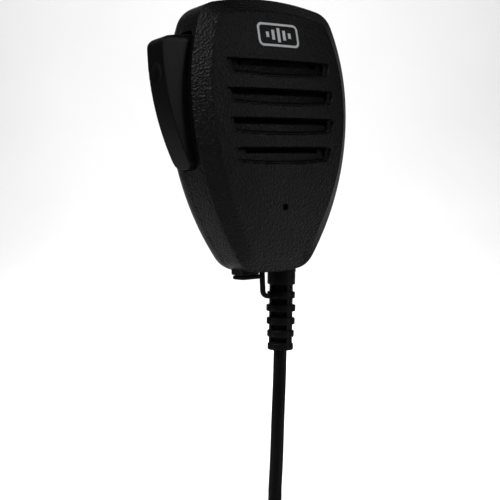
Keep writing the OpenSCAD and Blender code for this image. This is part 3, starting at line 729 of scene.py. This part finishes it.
def plug_pieces():
    boot = lathe("plug_boot_rubber", BOOT_PROFILE, on_plug, 48)
    shell = lathe("plug_shell_metal", SHELL_PROFILE, on_plug, 72)
    ring = lathe("plug_ring_metal", RING_PROFILE, on_plug, 288, KNURLS, KNURL_DEPTH, KNURLED)
    return boot, shell, ring


# ---------------------------------------------------------------- stud
STUD_PROFILE = ((2.0, 23.0), (4.5, 22.95), (4.3, 23.2), (4.0, 23.6), (4.0, 25.7), (4.2, 25.95), (4.6, 26.0),
                (7.0, 26.0), (7.35, 26.15), (7.5, 26.5), (7.5, 28.4), (7.35, 28.8), (6.9, 29.0), (4.1, 29.0),
                (3.8, 28.85), (3.75, 27.2), (2.0, 27.2))


def stud_head():
    def place(a, b, height):
        return at(a, height, STUD_Z + b)
    return lathe("stud_moulding", STUD_PROFILE, place, 72)


# ---------------------------------------------------------------- materials
def material(name, colour, roughness):
    made = bpy.data.materials.new(name)
    made.use_nodes = True
    tree = made.node_tree
    shader = tree.nodes["Principled BSDF"]
    shader.inputs["Base Color"].default_value = (*colour, 1)
    shader.inputs["Roughness"].default_value = roughness
    return made, tree, shader


def link(tree, output, target):
    tree.links.new(output, target)


def object_space(tree, scale=(1, 1, 1)):
    coords = tree.nodes.new("ShaderNodeTexCoord")
    mapping = tree.nodes.new("ShaderNodeMapping")
    mapping.inputs["Scale"].default_value = scale
    link(tree, coords.outputs["Object"], mapping.inputs["Vector"])
    return mapping.outputs["Vector"]


def noise(tree, vector, scale, detail=3.0, roughness=0.55):
    node = tree.nodes.new("ShaderNodeTexNoise")
    node.inputs["Scale"].default_value = scale
    node.inputs["Detail"].default_value = detail
    node.inputs["Roughness"].default_value = roughness
    link(tree, vector, node.inputs["Vector"])
    return node.outputs["Fac"]


def spread(tree, value, low, high):
    node = tree.nodes.new("ShaderNodeMapRange")
    node.inputs["To Min"].default_value = low
    node.inputs["To Max"].default_value = high
    link(tree, value, node.inputs["Value"])
    return node.outputs["Result"]


def tint(tree, value, dark, light):
    ramp = tree.nodes.new("ShaderNodeValToRGB")
    ramp.color_ramp.elements[0].color = (*dark, 1)
    ramp.color_ramp.elements[1].color = (*light, 1)
    ramp.color_ramp.elements[0].position = 0.3
    ramp.color_ramp.elements[1].position = 0.7
    link(tree, value, ramp.inputs["Fac"])
    return ramp.outputs["Color"]


def bump(tree, shader, height, distance, strength=1.0, under=None):
    node = tree.nodes.new("ShaderNodeBump")
    node.inputs["Distance"].default_value = distance
    node.inputs["Strength"].default_value = strength
    link(tree, height, node.inputs["Height"])
    if under is not None:
        link(tree, under, node.inputs["Normal"])
    link(tree, node.outputs["Normal"], shader.inputs["Normal"])
    return node.outputs["Normal"]


def edge_gloss(tree, shader, gloss):
    """Less gloss where the surface turns away, so that dark plastic stays dark at its edges."""
    weight = tree.nodes.new("ShaderNodeLayerWeight")
    weight.inputs["Blend"].default_value = 0.5
    fall = tree.nodes.new("ShaderNodeMapRange")
    for name, value in (("From Min", 0.18), ("From Max", 0.42), ("To Min", gloss), ("To Max", gloss * 0.08)):
        fall.inputs[name].default_value = value
    link(tree, weight.outputs["Facing"], fall.inputs["Value"])
    link(tree, fall.outputs["Result"], shader.inputs["Specular IOR Level"])


def grained_plastic(name, dark, light, pitch, depth, low_rough, high_rough):
    """Black moulded plastic with a leather-like grain of the given pitch, in metres."""
    made, tree, shader = material(name, light, high_rough)
    edge_gloss(tree, shader, 0.26)
    space = object_space(tree)
    cells = tree.nodes.new("ShaderNodeTexVoronoi")
    cells.feature = "SMOOTH_F1"
    cells.inputs["Scale"].default_value = 1 / pitch
    cells.inputs["Smoothness"].default_value = 0.6
    cells.inputs["Randomness"].default_value = 0.95
    link(tree, space, cells.inputs["Vector"])
    fine = noise(tree, space, 2.2 / pitch, 4)
    broad = noise(tree, space, 60, 2)
    under = bump(tree, shader, cells.outputs["Distance"], depth)
    bump(tree, shader, fine, depth * 0.55, 1.0, under)
    link(tree, tint(tree, fine, dark, light), shader.inputs["Base Color"])
    link(tree, spread(tree, broad, low_rough, high_rough), shader.inputs["Roughness"])
    return made


def fine_plastic(name, dark, light, low_rough, high_rough, depth=0.00002, gloss=0.22):
    """Smooth moulded plastic with a very fine spark-eroded texture."""
    made, tree, shader = material(name, light, high_rough)
    edge_gloss(tree, shader, gloss)
    space = object_space(tree)
    fine = noise(tree, space, 3200, 3)
    broad = noise(tree, space, 90, 3)
    bump(tree, shader, fine, depth)
    link(tree, tint(tree, broad, dark, light), shader.inputs["Base Color"])
    link(tree, spread(tree, broad, low_rough, high_rough), shader.inputs["Roughness"])
    return made


def turned_metal(name, dark, light, roughness, scale=(300, 300, 300)):
    made, tree, shader = material(name, light, roughness)
    shader.inputs["Metallic"].default_value = 1.0
    space = object_space(tree, scale)
    lines = noise(tree, space, 6, 4)
    bump(tree, shader, lines, 0.00001)
    link(tree, tint(tree, lines, dark, light), shader.inputs["Base Color"])
    link(tree, spread(tree, lines, roughness * 0.8, roughness * 1.3), shader.inputs["Roughness"])
    return made


def woven_cloth(name):
    made, tree, shader = material(name, (0.01, 0.01, 0.01), 0.9)
    space = object_space(tree)
    waves = []
    for direction in ("X", "Z"):
        wave = tree.nodes.new("ShaderNodeTexWave")
        wave.bands_direction = direction
        wave.inputs["Scale"].default_value = 900
        link(tree, space, wave.inputs["Vector"])
        waves.append(wave.outputs["Fac"])
    both = tree.nodes.new("ShaderNodeMath")
    both.operation = "MULTIPLY"
    link(tree, waves[0], both.inputs[0])
    link(tree, waves[1], both.inputs[1])
    bump(tree, shader, both.outputs["Value"], 0.0001)
    colour = tint(tree, both.outputs["Value"], (0.003, 0.003, 0.003), (0.012, 0.012, 0.012))
    link(tree, colour, shader.inputs["Base Color"])
    return made


def make_materials():
    return {
        "housing": grained_plastic("housing_black",
            (0.003, 0.0032, 0.0032), (0.006, 0.0063, 0.0063), 0.00072, 0.00026, 0.36, 0.46),
        "button_plastic": fine_plastic("button_black",
            (0.004, 0.0043, 0.0043), (0.006, 0.0064, 0.0064), 0.34, 0.44, 0.00003),
        "cord_rubber": fine_plastic("relief_rubber",
            (0.003, 0.0031, 0.0031), (0.005, 0.005, 0.005), 0.42, 0.52, 0.00004, 0.18),
        "cord_jacket": fine_plastic("jacket_rubber",
            (0.0025, 0.0025, 0.0026), (0.004, 0.004, 0.0041), 0.32, 0.42, 0.00002, 0.18),
        "seal": fine_plastic("seal_rubber", (0.02, 0.02, 0.02), (0.03, 0.03, 0.03), 0.7, 0.8),
        "foam": fine_plastic("foam_rubber", (0.03, 0.03, 0.03), (0.05, 0.05, 0.05), 0.8, 0.9, 0.0001),
        "screw_steel": turned_metal("zinc_steel", (0.42, 0.42, 0.43), (0.6, 0.6, 0.6), 0.32),
        "pressed_steel": turned_metal("pressed_sheet",
            (0.45, 0.46, 0.47), (0.58, 0.59, 0.6), 0.38, (40, 300, 300)),
        "magnet_steel": turned_metal("magnet_plating", (0.3, 0.31, 0.32), (0.42, 0.43, 0.44), 0.35),
        "capsule_metal": turned_metal("capsule_can", (0.62, 0.62, 0.64), (0.75, 0.75, 0.77), 0.3),
        "plug_metal": turned_metal("nickel_plate",
            (0.62, 0.62, 0.61), (0.72, 0.72, 0.71), 0.24, (60, 60, 400)),
        "contact_gold": turned_metal("contact_plating", (0.7, 0.52, 0.2), (0.85, 0.66, 0.3), 0.25),
        "insert_brass": turned_metal("turned_brass", (0.5, 0.37, 0.12), (0.66, 0.5, 0.2), 0.3),
        "white_print": fine_plastic("white_ink", (0.78, 0.79, 0.82), (0.88, 0.89, 0.91), 0.45, 0.55),
        "cloth": woven_cloth("speaker_cloth"),
        "cone_paper": fine_plastic("cone_pulp", (0.03, 0.03, 0.03), (0.06, 0.06, 0.06), 0.8, 0.95, 0.00008),
        "board": fine_plastic("solder_mask", (0.02, 0.14, 0.05), (0.03, 0.2, 0.08), 0.3, 0.4),
        "chip_plastic": fine_plastic("chip_black", (0.015, 0.015, 0.015), (0.025, 0.025, 0.025), 0.5, 0.65),
        "socket_plastic": fine_plastic("socket_black",
            (0.012, 0.012, 0.013), (0.02, 0.02, 0.021), 0.4, 0.5),
        "wire_jacket": fine_plastic("wire_red", (0.35, 0.02, 0.02), (0.45, 0.035, 0.03), 0.4, 0.5),
        "header_plastic": fine_plastic("header_ivory", (0.72, 0.7, 0.6), (0.82, 0.8, 0.72), 0.45, 0.55),
        "stud_plastic": fine_plastic("stud_black",
            (0.012, 0.013, 0.014), (0.02, 0.021, 0.022), 0.35, 0.45, 0.00003),
        "plunger_plastic": fine_plastic("plunger_ivory",
            (0.68, 0.68, 0.64), (0.78, 0.78, 0.74), 0.45, 0.55),
    }


def dress(obj, made):
    obj.data.materials.clear()
    obj.data.materials.append(made)


# ---------------------------------------------------------------- floor and light
def add_stage():
    made, tree, shader = material("studio_white", (0.9, 0.9, 0.9), 0.9)
    space = object_space(tree)
    shade = tint(tree, noise(tree, space, 3, 2), (0.88, 0.88, 0.88), (0.92, 0.92, 0.92))
    link(tree, shade, shader.inputs["Base Color"])
    floor_z = at(0, 0, FLOOR_Z).z
    away = Vector((-math.sin(TURN), math.cos(TURN), 0))
    across = Vector((math.cos(TURN), math.sin(TURN), 0))
    flat, curve, half_width, height = 0.9, 0.6, 2.4, 2.4
    turns = [math.radians(10 * k) for k in range(1, 10)]
    line = [(-flat, 0), (flat, 0)]
    line += [(flat + curve * math.sin(t), curve - curve * math.cos(t)) for t in turns]
    line += [(flat + curve, height)]
    rows = [[away * a + across * w + Vector((0, 0, floor_z + h)) for a, h in line]
            for w in (-half_width, half_width)]
    pick_none()
    bpy.ops.mesh.primitive_grid_add(x_subdivisions=len(line) - 1, y_subdivisions=1, size=2)
    stage = bpy.context.object
    stage.name = "studio_sweep"
    ordered = sorted(stage.data.vertices, key=lambda v: (round(v.co.y, 4), round(v.co.x, 4)))
    for v, p in zip(ordered, rows[0] + rows[1]):
        v.co = p
    dress(stage, made)
    pick(stage)
    bpy.ops.object.shade_smooth()


LAMP_SPREAD = math.radians(50)


def add_light(name, azimuth, height, distance, size, watts):
    data = bpy.data.lights.new(name, "AREA")
    data.shape = "SQUARE"
    data.size = size
    data.energy = watts
    data.spread = LAMP_SPREAD
    lamp = bpy.data.objects.new(name, data)
    bpy.context.scene.collection.objects.link(lamp)
    a, e = math.radians(azimuth), math.radians(height)
    place = Vector((math.sin(a) * math.cos(e), -math.cos(a) * math.cos(e), math.sin(e))) * distance
    lamp.location = place + Vector((0, 0, -0.02))
    lamp.rotation_euler = place.to_track_quat("Z", "Y").to_euler()


def add_sweep_light(watts):
    """A wide lamp above the object that faces the sweep behind it."""
    data = bpy.data.lights.new("sweep_light", "AREA")
    data.shape = "RECTANGLE"
    data.size, data.size_y = 1.0, 0.3
    data.energy = watts
    lamp = bpy.data.objects.new("sweep_light", data)
    bpy.context.scene.collection.objects.link(lamp)
    away = Vector((-math.sin(TURN), math.cos(TURN), 0))
    lamp.location = away * 0.25 + Vector((0, 0, 0.44))
    ahead = away * math.cos(math.radians(35)) - Vector((0, 0, math.sin(math.radians(35))))
    lamp.rotation_euler = (-ahead).to_track_quat("Z", "Y").to_euler()


def add_lights():
    world = bpy.data.worlds.new("studio")
    world.use_nodes = True
    world.node_tree.nodes["Background"].inputs["Color"].default_value = (1, 1, 1, 1)
    world.node_tree.nodes["Background"].inputs["Strength"].default_value = 0.03
    bpy.context.scene.world = world
    add_light("upper_left", azimuth=-76, height=50, distance=0.9, size=0.34, watts=0.42)
    add_light("front_right", azimuth=40, height=20, distance=1.1, size=0.5, watts=0.17)
    add_sweep_light(16)


# ---------------------------------------------------------------- the object
OUTLET_HOLE_R = 5.1
VOICE_HOLE_Z, VOICE_HOLE_R = -21.7, 1.15
SCREW_PLACES, SCREW_HOLE_R = ((18, 38), (-18, 38), (14, -26), (-14, -26)), 2.8


def outlet_hole():
    return upright("outlet", OUTLET.x, OUTLET.y, -50, -38, OUTLET_HOLE_R)


def main():
    bpy.context.scene.view_settings.view_transform = "Standard"
    add_camera()
    finishes = make_materials()
    record = frame["record"]
    for part in record["subparts"]:
        dress(frame["nodes"][part["node"]], finishes[part["material_slot"]])

    cord, length, exit_point = cord_curve()
    boot, shell, ring = plug_pieces()
    for piece, slot, body, nodes in (
            (cord, "cord_jacket", "housing", ("cord_tail", "cord_curl", "cord_lead")),
            (boot, "cord_rubber", "housing", ("plug_boot",)),
            (shell, "plug_metal", "housing", ("plug_shell",)),
            (ring, "plug_metal", "ring", ("plug_ring",))):
        finish_piece(piece, finishes, slot, body, nodes)
    nodes = frame["nodes"]
    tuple(exit_point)

    front = front_shell()
    cut(front, side_opening())
    cut(front, outlet_hole())
    cut(front, crosswise("voice_hole", 0, VOICE_HOLE_Z, -12, -3.2, VOICE_HOLE_R))
    rear = rear_shell()
    cut(rear, side_opening())
    cut(rear, outlet_hole())
    for x, z in SCREW_PLACES:
        cut(rear, crosswise("screw_hole", x, z, 19, 30, SCREW_HOLE_R))
    for piece in (front, rear):
        clean(piece, 38)
    finish_piece(front, finishes, "housing", "housing", ("front_shell",))
    finish_piece(rear, finishes, "housing", "housing", ("rear_shell",))
    boss = jack_boss()
    finish_piece(boss, finishes, "housing", "housing", ())
    finish_piece(talk_button(), finishes, "button_plastic", "button", ("ptt_button",))
    finish_piece(strain_relief(), finishes, "cord_rubber", "housing", ("strain_relief",))
    finish_piece(jack_flap(), finishes, "cord_rubber", "flap", ("jack_flap",))
    finish_piece(flap_strap(), finishes, "cord_rubber", "housing", ("flap_strap",))
    finish_piece(stud_head(), finishes, "stud_plastic", "housing", ("hang_stud",))
    add_stage()
    add_lights()


def finish_piece(piece, finishes, slot, body, nodes):
    dress(piece, finishes[slot])
    if nodes:
        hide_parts(*nodes)
    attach(piece, body)


main()
